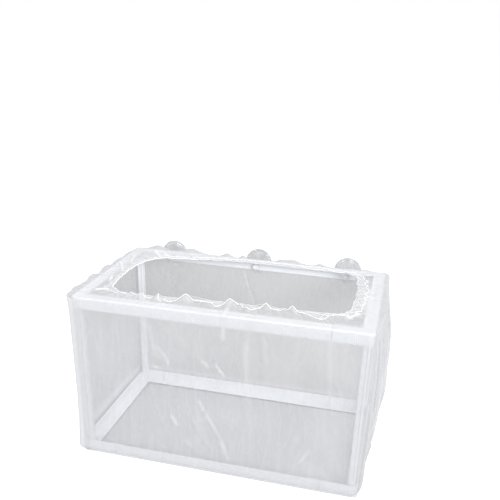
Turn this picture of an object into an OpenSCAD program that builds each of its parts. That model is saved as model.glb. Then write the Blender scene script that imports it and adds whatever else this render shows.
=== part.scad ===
// Fish breeding box: a two-ring plastic frame inside a net bag, hung by three suction cups.
// The origin is the middle of the footprint, on the underside of the net floor.
// +X runs along the long side to the right, -Y is the front, +Z is up.

/* [Frame] */
// Length over the rings
frame_l = 265; // [230:1:320]
// Width over the rings
frame_w = 150; // [120:1:190]
// Height from the underside of the bottom ring to the top of the top ring
frame_h = 160; // [110:1:200]

/* [Ring section] */
// Height of the upright flange
flange_h = 11; // [10.5:0.5:14]
// Depth of the flat flange
flange_d = 11; // [10.5:0.5:14]
// Wall of both flanges
ring_wall = 1.5; // [1.3:0.1:1.8]
// Outside radius of the ring's corners
corner_r = 4.5; // [4:0.25:6]
// Rounding of the ring's long outer edge
edge_r = 1.2; // [0.8:0.1:1.3]

/* [Splices] */
// Length of a ring end's legs, from the ring's end face to the seam
end_leg = 34; // [30:1:50]
// Length of the tongue that reaches behind a rail
tongue_l = 9; // [8.5:0.5:14]
// Wall of the tongue
tongue_wall = 1.3; // [1:0.1:1.5]
// Open seam between a rail and a ring end
seam_gap = 0.3; // [0.1:0.1:0.6]
// Diameter of the snap nub on a tongue
nub_d = 3; // [2:0.5:4]
// Clearance between frame pieces that fit into each other
fit_gap = 0.1; // [0.05:0.05:0.2]

/* [Posts] */
// Side of the square post
post_w = 6.4; // [6:0.2:7]
// Rounding of the post's corners
post_corner_r = 1; // [0.5:0.1:1.4]
// Width of the flute in each face of a post
flute_w = 2.8; // [2:0.2:3.4]
// Depth of the flute
flute_d = 0.8; // [0.4:0.1:1.2]
// Wall of the sockets in the ring ends
socket_wall = 1.2; // [0.8:0.1:1.5]

/* [Suction cups] */
// Diameter of a cup's rim
cup_d = 28; // [24:1:34]
// Depth from the net to the rim
cup_depth = 12; // [10:0.5:15]
// Wall of the cup near its rim
cup_wall = 0.9; // [0.7:0.1:1.3]
// Diameter of the collar that presses on the net
boss_d = 10; // [8:0.5:12]
// Length of that collar
boss_l = 2.2; // [1.5:0.1:3]
// Diameter of the neck in its hole
neck_d = 4; // [3:0.2:4.6]
// Diameter of the knob that holds the neck in its hole
knob_d = 6.2; // [5.6:0.2:6.6]
// Length of the knob
knob_l = 3.6; // [3:0.2:5]
// Radial clearance of the neck in its hole
neck_gap = 0.1; // [0.05:0.01:0.1]

/* [Net bag] */
// Thickness that stands for the net
net_t = 0.6; // [0.4:0.1:1]
// Gap between the net and what it lies on
net_gap = 0.3; // [0.2:0.1:0.5]
// How far the front wall stands out between its edges
slack_front = 1.5; // [0.5:0.5:6]
// How far the back wall stands out between its edges
slack_back = 2; // [0.5:0.5:4]
// How far the left wall stands out between its edges
slack_left = 3; // [0.5:0.5:10]
// How far the right wall stands out between its edges
slack_right = 12.5; // [2:0.5:20]
// Width of the collar along the front
collar_front = 27; // [20:1:35]
// Width of the collar along the back
collar_back = 18; // [15:1:30]
// Width of the collar at each end
collar_side = 23; // [18:1:35]
// Radius of the mouth's corners
mouth_r = 22; // [15:1:30]
// How far the collar's gathers stand up
gather_h = 3; // [1:0.5:5]
// Diameter of the elastic thread
elastic_d = 1.4; // [1:0.2:2]

/* [Hidden] */

$fn = 48;
eps = 0.02;                                  // overlap that welds two forms of one piece

// Heights
frame_z = net_t + net_gap;                   // underside of the bottom ring
frame_top = frame_z + frame_h;               // top of the top ring

// Corner sockets: the post is set in far enough to leave a lining inside the ring's corner radius
lining = 0.2;
corner_inset = corner_r - post_corner_r
    - (corner_r - ring_wall - post_corner_r - fit_gap - lining) / sqrt(2);
post_inset = max(ring_wall + fit_gap, corner_inset);
socket_side = post_inset + post_w + fit_gap + socket_wall;
socket_h = flange_h - 1;
post_l = frame_h - 2 * ring_wall;

// Splices
seam_x = frame_l / 2 - end_leg;              // distance of each seam from the middle
tongue_root = 6;                             // length of the tongue's root inside the leg
tongue_in = ring_wall + fit_gap;             // outer face of the tongue, from the ring's outer face
tongue_out = tongue_in + tongue_wall;        // inner face of the tongue
tongue_short = 0.8;                          // the tongue stops this far short of both flange edges
nub_stop = 0.3;                              // the nub ends this far below the rail's face
splice_x = seam_x - tongue_l / 2;            // middle of the tongue, where nub and stem holes are

// Suction cups
knob_clear = 0.4;                            // from the knob to the tongue's flat part
stem_z = tongue_out + knob_d / 2 + knob_clear;
stem_hole_r = neck_d / 2 + neck_gap;
stem_play = 0.15;                            // end play of the neck
pad_r = knob_d / 2 + 1;                      // pad that brings the middle hole to the splice's depth
neck_in = tongue_out + stem_play;            // from the ring's face in to the knob's shoulder
neck_out = 2 * net_gap + net_t;              // from the ring's face out to the collar of the cup
rim_land = 0.8;                              // flat land on the rim
cup_xs = [-splice_x, 0, splice_x];

// Net bag
skin_in = net_gap;                           // inner face of the walls, outside the ring's face
skin_out = net_gap + net_t;                  // outer face of the walls
bag_r = corner_r + skin_out;                 // outside radius of the bag's corners
wall_z0 = net_t;                             // the walls stand on the floor panel
wall_z1 = frame_top + net_gap;               // and end under the collar
wall_rows = 15;                              // rows of points up a wall
row_h = (wall_z1 - wall_z0) / (wall_rows - 1);
pinned_z = frame_top - stem_z - boss_d / 2 - row_h;  // the cups pin the back wall flat above this
net_hole_r = neck_d / 2 + 0.4;
hem_r = elastic_d / 2 + 0.1;                 // room for the elastic in the hem
hem_z = wall_z1 + net_t / 2;
mouth_x = frame_l / 2 + skin_out - collar_side;
mouth_y0 = -(frame_w / 2 + skin_out - collar_front);
mouth_y1 = frame_w / 2 + skin_out - collar_back;

// ---------- ring pieces, drawn as the bottom ring lies: flat flange down at z = 0 ----------

// L-section: x runs inward from the ring's outer face, y runs up from the flat flange
module ring_section() {
    translate([0, edge_r]) square([ring_wall, flange_h - edge_r - ring_wall / 2]);
    translate([ring_wall / 2, flange_h - ring_wall / 2]) circle(d = ring_wall);
    translate([edge_r, 0]) square([flange_d - edge_r - ring_wall / 2, ring_wall]);
    translate([flange_d - ring_wall / 2, ring_wall / 2]) circle(d = ring_wall);
    intersection() {
        translate([edge_r, edge_r]) circle(r = edge_r);
        square(edge_r + eps);
    }
}

// A length of that section along +X, its outer face on y = 0 and its inside towards +Y
module ring_bar(length) {
    rotate([90, 0, 90]) linear_extrude(length) ring_section();
}

// The rounded corner, centred on its radius, for the quarter between -X and -Y
module ring_corner() {
    rotate([0, 0, 180]) rotate_extrude(angle = 90)
        intersection() {
            translate([corner_r, 0]) mirror([1, 0]) ring_section();
            square([corner_r, flange_h]);
        }
}

// Square with rounded corners, its lower left corner at the origin
module round_square(side, r) {
    translate([r, 0]) square([side - 2 * r, side]);
    translate([0, r]) square([side, side - 2 * r]);
    for (x = [r, side - r], y = [r, side - r]) translate([x, y]) circle(r = r);
}

// Walls of a post socket, in the corner between -X and -Y, with the ring's corner at the origin
module socket_block() {
    sink = ring_wall / 2;
    linear_extrude(socket_h) difference() {
        union() {
            translate([corner_r, corner_r]) circle(r = corner_r - sink);
            translate([sink, corner_r]) square([socket_side - sink, socket_side - corner_r]);
            translate([corner_r, sink]) square([socket_side - corner_r, socket_side - sink]);
        }
        translate([post_inset - fit_gap, post_inset - fit_gap])
            round_square(post_w + 2 * fit_gap, post_corner_r + fit_gap);
    }
}

// Tongue of a leg that runs along +X and ends at x = 0; the tongue goes on past it
module splice_tongue(pierced) {
    upright = flange_h - tongue_short;
    flat = flange_d - tongue_short;
    rotate([90, 0, 90]) translate([0, 0, -tongue_root]) linear_extrude(tongue_root) {
        translate([ring_wall - eps, ring_wall - eps]) square([tongue_out - ring_wall + eps, upright - ring_wall]);
        translate([ring_wall - eps, ring_wall - eps]) square([flat - ring_wall, tongue_out - ring_wall + eps]);
    }
    difference() {
        union() {
            rotate([90, 0, 90]) translate([0, 0, -eps]) linear_extrude(tongue_l + eps) {
                translate([tongue_in, tongue_in]) square([tongue_wall, upright - tongue_in]);
                translate([tongue_in, tongue_in]) square([flat - tongue_in, tongue_wall]);
            }
            if (!pierced)
                translate([tongue_l / 2, tongue_in + eps, stem_z]) rotate([90, 0, 0])
                    cylinder(d = nub_d, h = tongue_in - nub_stop + eps);
        }
        if (pierced) stem_bore(tongue_l / 2);
    }
}

// Cutter along Y through both layers of the upright flange
module stem_bore(x, r = stem_hole_r) {
    translate([x, tongue_out + 1, stem_z]) rotate([90, 0, 0]) cylinder(r = r, h = tongue_out + 2);
}

// U-shaped end, in place at the left: pierced_back opens the back tongue for a cup's neck
module ring_end(pierced_back = false) {
    translate([-frame_l / 2, 0, 0]) {
        rotate([90, 0, 0]) linear_extrude(frame_w - 2 * corner_r, center = true) ring_section();
        for (side = [0, 1]) mirror([0, side, 0]) translate([0, -frame_w / 2, 0]) {
            translate([corner_r, corner_r, 0]) ring_corner();
            translate([corner_r, 0, 0]) ring_bar(end_leg - corner_r);
            socket_block();
            translate([end_leg, 0, 0]) splice_tongue(pierced_back && side == 1);
        }
    }
}

// Straight rail at the front; the one at the back is its mirror image
module ring_rail() {
    length = 2 * (seam_x - seam_gap);
    difference() {
        translate([-length / 2, -frame_w / 2, 0]) ring_bar(length);
        translate([0, -frame_w / 2, 0]) for (x = [-splice_x, splice_x]) stem_bore(x, nub_d / 2 + fit_gap);
    }
}

// Straight rail with stem holes and a pad behind the middle one
module cup_rail() {
    length = 2 * (seam_x - seam_gap);
    difference() {
        translate([0, -frame_w / 2, 0]) {
            translate([-length / 2, 0, 0]) ring_bar(length);
            translate([0, tongue_out, stem_z]) rotate([90, 0, 0])
                cylinder(r = pad_r, h = tongue_out - ring_wall / 2);
        }
        translate([0, -frame_w / 2, 0]) for (x = cup_xs) stem_bore(x);
    }
}

module at_bottom() {
    translate([0, 0, frame_z]) children();
}

module at_top() {
    translate([0, 0, frame_top]) mirror([0, 0, 1]) children();
}

module top_end_left() {
    color("white") at_top() ring_end(pierced_back = true);
}

module top_end_right() {
    color("white") mirror([1, 0, 0]) at_top() ring_end(pierced_back = true);
}

module top_rail_front() {
    color("white") at_top() ring_rail();
}

module top_rail_back() {
    color("white") mirror([0, 1, 0]) at_top() cup_rail();
}

module bottom_end_left() {
    color("white") at_bottom() ring_end();
}

module bottom_end_right() {
    color("white") mirror([1, 0, 0]) at_bottom() ring_end();
}

module bottom_rail_front() {
    color("white") at_bottom() ring_rail();
}

module bottom_rail_back() {
    color("white") mirror([0, 1, 0]) at_bottom() ring_rail();
}

// ---------- posts ----------

// Square post with a flute in each face; the flutes stop short of the sockets
module post() {
    flute_l = post_l - 2 * (socket_h + 2);
    difference() {
        linear_extrude(post_l) round_square(post_w, post_corner_r);
        for (turn = [0:90:270])
            translate([post_w / 2, post_w / 2, (post_l - flute_l) / 2]) rotate([0, 0, turn])
                translate([-flute_w / 2, post_w / 2 - flute_d, 0]) cube([flute_w, flute_d + 1, flute_l]);
    }
}

module post_at(side_x, side_y) {
    color("white") mirror([side_x, 0, 0]) mirror([0, side_y, 0])
        translate([-frame_l / 2 + post_inset, -frame_w / 2 + post_inset, frame_z + ring_wall]) post();
}

module post_front_left() {
    post_at(0, 0);
}

module post_front_right() {
    post_at(1, 0);
}

module post_back_left() {
    post_at(0, 1);
}

module post_back_right() {
    post_at(1, 1);
}

// ---------- suction cups ----------

// Points of an arc in a profile, from angle a0 to a1
function arc(cx, cy, r, a0, a1, n) = [
    for (i = [0:n]) [cx + r * cos(a0 + (a1 - a0) * i / n), cy + r * sin(a0 + (a1 - a0) * i / n)]
];

// Profile of a bell from radius r0 at height z0 to radius r1 at height z1, flaring towards the rim
function bell(r0, z0, r1, z1, n) = [
    for (i = [0:n]) let (u = i / n) [r0 + (r1 - r0) * sin(90 * u), z0 + (z1 - z0) * (1 - cos(90 * u))]
];

// The cup stands on its axis: the ring's outer face is z = 0, the rim is at the top
module suction_cup() {
    rim_z = neck_out + cup_depth;
    boss_z = neck_out + boss_l;
    roof_z = boss_z + cup_wall;
    rotate_extrude() polygon(concat(
        [[0, -neck_in - knob_l], [knob_d * 0.24, -neck_in - knob_l]],
        arc(knob_d / 2 - 0.6, -neck_in - 0.6, 0.6, -35, 0, 3),
        [[knob_d / 2, -neck_in], [neck_d / 2, -neck_in], [neck_d / 2, neck_out]],
        arc(boss_d / 2 - 0.4, neck_out + 0.4, 0.4, -90, 0, 3),
        bell(boss_d / 2, boss_z, cup_d / 2, rim_z - 0.4, 9),
        [[cup_d / 2, rim_z], [cup_d / 2 - rim_land, rim_z]],
        [for (i = [9:-1:0]) bell(0, roof_z, cup_d / 2 - cup_wall, rim_z - 0.1, 9)[i]]
    ));
}

module cup_at(x) {
    color([0.86, 0.93, 0.95, 0.5]) translate([x, frame_w / 2, frame_top - stem_z])
        rotate([-90, 0, 0]) suction_cup();
}

module suction_cup_left() {
    cup_at(cup_xs[0]);
}

module suction_cup_middle() {
    cup_at(cup_xs[1]);
}

module suction_cup_right() {
    cup_at(cup_xs[2]);
}

// ---------- net bag ----------

// Faces of a closed sheet whose point list is a rows x cols grid for its inner side, then for its outer side
function sheet_faces(rows, cols) = let (n = rows * cols, last = (rows - 1) * cols) concat(
    [for (r = [0:rows - 2], c = [0:cols - 2]) let (k = r * cols + c) each
        [[k + 1, k + cols + 1, k + cols, k], [n + k + cols, n + k + cols + 1, n + k + 1, n + k]]],
    [for (c = [0:cols - 2]) each
        [[n + c, n + c + 1, c + 1, c],
         [last + c, last + c + 1, n + last + c + 1, n + last + c]]],
    [for (r = [0:rows - 2]) let (k = r * cols, e = k + cols - 1) each
        [[k, k + cols, n + k + cols, n + k], [e + cols, e, n + e, n + e + cols]]]
);

// How far a slack wall stands out, from 0 at its edges to 1 at its middle; u along, v up
function slack_at(u, v) = pow(sin(180 * u) * sin(180 * v), 0.8);

// Wall panel through columns given as [x, y, outward x, outward y, u], its inner face on x, y;
// it lies flat above slack_top
module slack_wall(columns, slack, slack_top = wall_z1) {
    points = [for (depth = [0, net_t], r = [0:wall_rows - 1], c = columns)
        let (z = wall_z0 + row_h * r, v = min(1, (z - wall_z0) / (slack_top - wall_z0)),
             out = depth + slack * slack_at(c[4], v))
        [c[0] + c[2] * out, c[1] + c[3] * out, z]];
    polyhedron(points, sheet_faces(wall_rows, len(columns)), convexity = 4);
}

// Columns of a long wall along +X at the front, between the rounded corners
long_columns = let (x1 = frame_l / 2 - corner_r, y = -frame_w / 2 - skin_in, n = 20)
    [for (i = [0:n]) [-x1 + 2 * x1 * i / n, y, 0, -1, i / n]];

// Columns of the left end wall, with a rounded corner at each end
end_columns = let (x = -frame_l / 2 + corner_r, y = frame_w / 2 - corner_r, r = corner_r + skin_in, n = 16, bend = 4)
    concat(
        [for (i = [0:bend - 1]) let (a = 90 + 90 * i / bend) [x + r * cos(a), y + r * sin(a), cos(a), sin(a), 0]],
        [for (i = [0:n]) [x - r, y - 2 * y * i / n, -1, 0, i / n]],
        [for (i = [1:bend]) let (a = 180 + 90 * i / bend) [x + r * cos(a), -y + r * sin(a), cos(a), sin(a), 0]]
    );

module net_front() {
    color([0.95, 0.96, 0.97, 0.6]) slack_wall(long_columns, slack_front);
}

// Back wall, with a hole for each neck; the cups hold it against the top rail
module net_back() {
    color([0.95, 0.96, 0.97, 0.6]) mirror([0, 1, 0]) difference() {
        slack_wall(long_columns, slack_back, pinned_z);
        for (x = cup_xs) translate([x, -frame_w / 2 - skin_in + 1, frame_top - stem_z]) rotate([90, 0, 0])
            cylinder(r = net_hole_r, h = net_t + slack_back + 2);
    }
}

// End wall at the left with the bag's two rounded corners
module end_wall(slack) {
    color([0.95, 0.96, 0.97, 0.6]) slack_wall(end_columns, slack);
}

module net_left() {
    end_wall(slack_left);
}

module net_right() {
    mirror([1, 0, 0]) end_wall(slack_right);
}

// Flat outline of the bag
module bag_outline() {
    length = frame_l + 2 * skin_out;
    width = frame_w + 2 * skin_out;
    square([length - 2 * bag_r, width], center = true);
    square([length, width - 2 * bag_r], center = true);
    for (x = [-1, 1], y = [-1, 1])
        translate([x * (length / 2 - bag_r), y * (width / 2 - bag_r)]) circle(r = bag_r);
}

module net_floor() {
    color([0.95, 0.96, 0.97, 0.6]) linear_extrude(net_t) bag_outline();
}

// Points round a rectangle with rounded corners, from x0, y0 to x1, y1; the same count for any size
corner_steps = 6;
long_steps = 36;
short_steps = 20;
function loop_points(x0, y0, x1, y1, r) = concat(
    [for (i = [0:long_steps - 1]) [x0 + r + (x1 - x0 - 2 * r) * i / long_steps, y0]],
    [for (i = [0:corner_steps - 1]) let (a = -90 + 90 * i / corner_steps) [x1 - r + r * cos(a), y0 + r + r * sin(a)]],
    [for (i = [0:short_steps - 1]) [x1, y0 + r + (y1 - y0 - 2 * r) * i / short_steps]],
    [for (i = [0:corner_steps - 1]) let (a = 90 * i / corner_steps) [x1 - r + r * cos(a), y1 - r + r * sin(a)]],
    [for (i = [0:long_steps - 1]) [x1 - r - (x1 - x0 - 2 * r) * i / long_steps, y1]],
    [for (i = [0:corner_steps - 1]) let (a = 90 + 90 * i / corner_steps) [x0 + r + r * cos(a), y1 - r + r * sin(a)]],
    [for (i = [0:short_steps - 1]) [x0, y1 - r - (y1 - y0 - 2 * r) * i / short_steps]],
    [for (i = [0:corner_steps - 1]) let (a = 180 + 90 * i / corner_steps) [x0 + r + r * cos(a), y0 + r + r * sin(a)]]
);

// Gathered sheet from the top of the walls in to the hem: every fourth point is a valley
module gathered_collar() {
    outer = loop_points(-frame_l / 2 - skin_out, -frame_w / 2 - skin_out,
                        frame_l / 2 + skin_out, frame_w / 2 + skin_out, bag_r);
    inner = loop_points(-mouth_x, mouth_y0, mouth_x, mouth_y1, mouth_r);
    n = len(outer);
    bands = 4;
    rise = [for (i = [0:n - 1]) (1 - cos(90 * (i % 4))) / 2];
    points = [for (top = [0, 1], b = [0:bands], i = [0:n - 1])
        let (t = b / bands, p = outer[i] * (1 - t) + inner[i] * t)
        [p[0], p[1], wall_z1 + top * net_t + gather_h * rise[i] * sin(180 * t)]];
    half = n * (bands + 1);
    faces = concat(
        [for (b = [0:bands - 1], i = [0:n - 1])
            let (j = (i + 1) % n, k = b * n) [k + j, k + n + j, k + n + i, k + i]],
        [for (b = [0:bands - 1], i = [0:n - 1])
            let (j = (i + 1) % n, k = half + b * n) [k + n + i, k + n + j, k + j, k + i]],
        [for (i = [0:n - 1]) let (j = (i + 1) % n) [half + i, half + j, j, i]],
        [for (i = [0:n - 1]) let (j = (i + 1) % n, k = bands * n) [half + k + j, half + k + i, k + i, k + j]]
    );
    polyhedron(points, faces, convexity = 6);
}

// Round cord bent into a closed rounded rectangle round the mouth
module mouth_loop(r) {
    x = mouth_x - mouth_r;
    y0 = mouth_y0 + mouth_r;
    y1 = mouth_y1 - mouth_r;
    inset = hem_r;
    bend = mouth_r - inset;
    translate([0, 0, hem_z]) {
        for (corner = [[x, y1, 0], [-x, y1, 90], [-x, y0, 180], [x, y0, 270]])
            translate([corner[0], corner[1], 0]) rotate([0, 0, corner[2]])
                rotate_extrude(angle = 90) translate([bend, 0]) circle(r = r, $fn = 24);
        for (y = [y0 - bend, y1 + bend]) translate([0, y, 0]) rotate([0, 90, 0])
            cylinder(r = r, h = 2 * x, center = true, $fn = 24);
        for (side = [-1, 1]) translate([side * (x + bend), (y0 + y1) / 2, 0]) rotate([90, 0, 0])
            cylinder(r = r, h = y1 - y0, center = true, $fn = 24);
    }
}

module net_collar() {
    color([0.95, 0.96, 0.97, 0.6]) difference() {
        union() {
            gathered_collar();
            mouth_loop(hem_r + net_t);
        }
        mouth_loop(hem_r);
    }
}

module mouth_elastic() {
    color("white") mouth_loop(elastic_d / 2);
}

top_end_left();
top_end_right();
top_rail_front();
top_rail_back();
bottom_end_left();
bottom_end_right();
bottom_rail_front();
bottom_rail_back();
post_front_left();
post_front_right();
post_back_left();
post_back_right();
suction_cup_left();
suction_cup_middle();
suction_cup_right();
net_front();
net_back();
net_left();
net_right();
net_floor();
net_collar();
mouth_elastic();
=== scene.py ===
# %% [markdown]
# # A fish breeding box
#
# A breeding box keeps newborn fish apart from the rest of a tank. Two white plastic rings and four
# posts make a light frame, a bag of fine nylon net is pulled over it, and an elastic thread in the
# bag's hem draws the mouth in over the top ring. Three suction cups hang the box on the tank's glass.
#
# The frame and the cups are real solids and arrive finished in shape, so they only need a material.
# The net is modelled here, because its looks are all in its folds and its see-through weave.

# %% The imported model, which gives every size and place
import math

import bpy
from mathutils import Matrix, Vector, noise


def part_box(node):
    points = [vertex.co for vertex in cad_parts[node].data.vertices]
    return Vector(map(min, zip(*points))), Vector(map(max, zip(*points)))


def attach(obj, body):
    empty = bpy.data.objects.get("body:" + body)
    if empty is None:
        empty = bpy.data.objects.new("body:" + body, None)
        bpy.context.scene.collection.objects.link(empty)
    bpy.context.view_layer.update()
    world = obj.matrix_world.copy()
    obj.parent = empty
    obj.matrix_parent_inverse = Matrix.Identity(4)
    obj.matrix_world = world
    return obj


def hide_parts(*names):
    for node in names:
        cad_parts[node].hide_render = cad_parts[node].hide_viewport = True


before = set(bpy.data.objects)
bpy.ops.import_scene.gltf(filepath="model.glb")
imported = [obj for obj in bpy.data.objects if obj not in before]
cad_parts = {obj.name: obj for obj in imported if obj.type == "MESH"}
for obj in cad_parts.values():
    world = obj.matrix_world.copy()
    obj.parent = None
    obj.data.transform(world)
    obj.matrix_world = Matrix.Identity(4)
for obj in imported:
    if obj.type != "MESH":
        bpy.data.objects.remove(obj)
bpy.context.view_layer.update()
scene = bpy.context.scene

MM = 0.001  # the script thinks in millimetres, and Blender's unit is the metre


def box_mm(node):
    """Lowest and highest corner of a solid, in millimetres."""
    low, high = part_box(node)
    return Vector(low) / MM, Vector(high) / MM


ring_high = box_mm("top_end_right")[1]
half_x, half_y, ring_top = ring_high.x, ring_high.y, ring_high.z
ring_bottom = box_mm("bottom_end_right")[0].z
flange = box_mm("top_rail_front")[1].y - box_mm("top_rail_front")[0].y
print(f"frame {2 * half_x:.0f} x {2 * half_y:.0f} mm, from z {ring_bottom:.1f} to {ring_top:.1f} mm")

# %% [markdown]
# ## The camera
# The view comes from a little to the right and above, as when the box stands on a table in front of
# the reader. A shift of the lens, in place of a tilt of the camera, keeps the posts close to upright.

# %% Camera
CAMERA_AT = Vector((140.7, -540.0, 373.9)) * MM  # the box is 265 mm long
AZIMUTH, ELEVATION, ROLL = (math.radians(a) for a in (13.77, 24.04, 1.5))

camera = bpy.data.objects.new("camera", bpy.data.cameras.new("camera"))
scene.collection.objects.link(camera)
camera.data.lens = 45.83
camera.data.sensor_width = 36
camera.data.shift_x = 0.0094
camera.data.shift_y = 0.1387
camera.data.clip_start = 0.01

back = Vector((math.sin(AZIMUTH) * math.cos(ELEVATION), -math.cos(AZIMUTH) * math.cos(ELEVATION),
               math.sin(ELEVATION)))
level = Vector((math.cos(AZIMUTH), math.sin(AZIMUTH), 0))
right = level * math.cos(ROLL) + back.cross(level) * math.sin(ROLL)
turn = Matrix((right, back.cross(right), back)).transposed()
camera.matrix_world = Matrix.Translation(CAMERA_AT) @ turn.to_4x4()
scene.camera = camera
print("camera", tuple(round(v, 3) for v in camera.location), "lens", camera.data.lens)

# %% [markdown]
# ## The studio
# White goods are shown on a sweep that is lit past white, so that the object stands on plain white.
# A net on plain white would vanish, because every hole in it would be white too. Studios hide the
# white behind such an object with a grey card, cut round its outline. The same is done here in the
# light: the sweep and the sky are white where the eye meets them straight, and pale grey for
# everything else, such as light that has come through the net or bounces inside the box.
# The standard view transform keeps white as white: a film-like curve would turn it grey.

# %% Small helpers for colours, nodes and materials
def srgb(code):
    """Turns a colour such as '#f2f4f6' into Blender's linear values."""
    channels = [int(code[i:i + 2], 16) / 255 for i in (1, 3, 5)]
    linear = [c / 12.92 if c <= 0.04045 else ((c + 0.055) / 1.055) ** 2.4 for c in channels]
    return (*linear, 1.0)


def add_node(tree, kind, inputs=None, **settings):
    """Adds a node. inputs maps a socket's name or number to a value, or to another node's output."""
    node = tree.nodes.new(kind)
    for name, value in settings.items():
        setattr(node, name, value)
    for key, value in (inputs or {}).items():
        if isinstance(value, bpy.types.NodeSocket):
            tree.links.new(value, node.inputs[key])
        else:
            node.inputs[key].default_value = value
    return node


def mixed_colour(tree, factor, a, b):
    """Blends two colours; a Mix node's colour sockets are its inputs 6 and 7 and its output 2."""
    return add_node(tree, "ShaderNodeMix", {0: factor, 6: a, 7: b}, data_type="RGBA").outputs[2]


def new_material(name):
    """An empty material, its node tree and its output node."""
    material = bpy.data.materials.new(name)
    material.use_nodes = True
    tree = material.node_tree
    tree.nodes.clear()
    return material, tree, add_node(tree, "ShaderNodeOutputMaterial")


WHITE = srgb("#ffffff")
print("helpers ready; mid grey #808080 is", round(srgb("#808080")[0], 3), "in linear light")

# %% View transform and world light
scene.view_settings.view_transform = "Standard"
scene.view_settings.look = "None"
# a ray that crosses the net, a cup and the net again passes many clear layers, and must not end in black
scene.cycles.transparent_max_bounces = 32

CARD = srgb("#dadadb")  # the grey card, as bright as the pale wall of a room


def seen_straight(tree):
    """1 for a ray that goes from the eye to this surface with nothing between, and 0 for any other."""
    path = add_node(tree, "ShaderNodeLightPath")
    bare = add_node(tree, "ShaderNodeMath", {0: path.outputs["Transparent Depth"], 1: 0.5},
                    operation="LESS_THAN")
    return add_node(tree, "ShaderNodeMath", {0: path.outputs["Is Camera Ray"], 1: bare.outputs[0]},
                    operation="MULTIPLY").outputs[0]


world = bpy.data.worlds.new("light tent")
scene.world = world
world.use_nodes = True
tree = world.node_tree
tree.nodes.clear()
tent = mixed_colour(tree, seen_straight(tree), CARD, WHITE)
sky = add_node(tree, "ShaderNodeBackground", {"Color": tent, "Strength": 1.0})
add_node(tree, "ShaderNodeOutputWorld", {"Surface": sky.outputs[0]})
print("the tent's grey card has a linear value of", round(CARD[0], 3))


# %% Lamps
MIDDLE = Vector((0, 0, 0.08))  # m; the lamps look at it


def soft_lamp(name, place, size, power):
    """A square area lamp that looks at the middle of the box; metres and watts."""
    data = bpy.data.lights.new(name, "AREA")
    data.size = size
    data.energy = power
    lamp = bpy.data.objects.new(name, data)
    scene.collection.objects.link(lamp)
    lamp.location = place
    aim = MIDDLE - Vector(place)
    lamp.rotation_euler = aim.to_track_quat("-Z", "Y").to_euler()
    return lamp


soft_lamp("overhead softbox", (0.30, -0.10, 1.5), 1.0, 10.0)
soft_lamp("key softbox", (2.0, -2.2, 1.25), 1.0, 57)
soft_lamp("fill card", (-1.1, -1.6, 0.8), 0.9, 9.5)

# %% Floor
FLOOR_SIZE = 8.0  # m
FLOOR_DROP = 0.3  # mm that it lies under the net, so that the two never share a place
GLOW = 0.80       # light that the sweep gives off itself where the eye meets it straight

sweep, tree, output = new_material("lit white sweep")
board = add_node(tree, "ShaderNodeBsdfDiffuse", {"Color": srgb("#bebebf")})
glow = add_node(tree, "ShaderNodeEmission", {"Color": WHITE, "Strength": GLOW})
lit_board = add_node(tree, "ShaderNodeAddShader", {0: board.outputs[0], 1: glow.outputs[0]})
both = add_node(tree, "ShaderNodeMixShader",
                {0: seen_straight(tree), 1: board.outputs[0], 2: lit_board.outputs[0]})
tree.links.new(both.outputs[0], output.inputs["Surface"])

floor_mesh = bpy.data.meshes.new("floor")
edge = FLOOR_SIZE / 2
corners = [(-edge, -edge, 0), (edge, -edge, 0), (edge, edge, 0), (-edge, edge, 0)]
floor_mesh.from_pydata(corners, [], [(0, 1, 2, 3)])
floor_mesh.materials.append(sweep)
floor = bpy.data.objects.new("floor", floor_mesh)
floor.location.z = -FLOOR_DROP * MM
scene.collection.objects.link(floor)

# %% [markdown]
# ## Moulded plastic
# The rings and posts are injection-moulded ABS: opaque white, with the satin gloss of a polished
# mould. ABS bends light with an index of about 1.53. A real moulding is never quite even, so a slow
# noise shifts the white a little and a fine one gives the faint orange peel of the mould's skin.

# %% White moulded ABS
PLASTIC_IOR = 1.53  # ABS and soft PVC both bend light about this much, and so does nylon
CLOUD_SIZE = 35.7   # mm; patches of slightly different white
PEEL_SIZE = 1.11    # mm; the orange peel
PEEL_DEPTH = 0.1    # mm


def noise_scale(size):
    """The Scale of a noise texture whose features are size millimetres wide."""
    return 1 / (size * MM)


def moulded_abs():
    material, tree, output = new_material("moulded white ABS")
    place = add_node(tree, "ShaderNodeTexCoord").outputs["Object"]
    cloud = add_node(tree, "ShaderNodeTexNoise", {"Vector": place, "Scale": noise_scale(CLOUD_SIZE),
                                                  "Detail": 2.0})
    white = mixed_colour(tree, cloud.outputs["Fac"], srgb("#eceef1"), srgb("#e3e5e8"))
    peel = add_node(tree, "ShaderNodeTexNoise", {"Vector": place, "Scale": noise_scale(PEEL_SIZE),
                                                 "Detail": 3.0})
    bump = add_node(tree, "ShaderNodeBump", {"Height": peel.outputs["Fac"], "Strength": 0.12,
                                             "Distance": PEEL_DEPTH * MM})
    rough = add_node(tree, "ShaderNodeMapRange", {"Value": cloud.outputs["Fac"], "To Min": 0.45,
                                                  "To Max": 0.58})
    shell = add_node(tree, "ShaderNodeBsdfPrincipled", {
        "Base Color": white, "Roughness": rough.outputs["Result"], "IOR": PLASTIC_IOR,
        "Normal": bump.outputs["Normal"]})
    tree.links.new(shell.outputs[0], output.inputs["Surface"])
    return material


abs_white = moulded_abs()


def finish_nodes(material, *names):
    """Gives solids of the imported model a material."""
    for name in names:
        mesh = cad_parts[name].data
        mesh.materials.clear()
        mesh.materials.append(material)
        mesh.polygons.foreach_set("material_index", [0] * len(mesh.polygons))


plastic_nodes = [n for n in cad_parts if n.startswith(("top_", "bottom_", "post_"))]
finish_nodes(abs_white, *plastic_nodes)
print(len(plastic_nodes), "mouldings finished")

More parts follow.
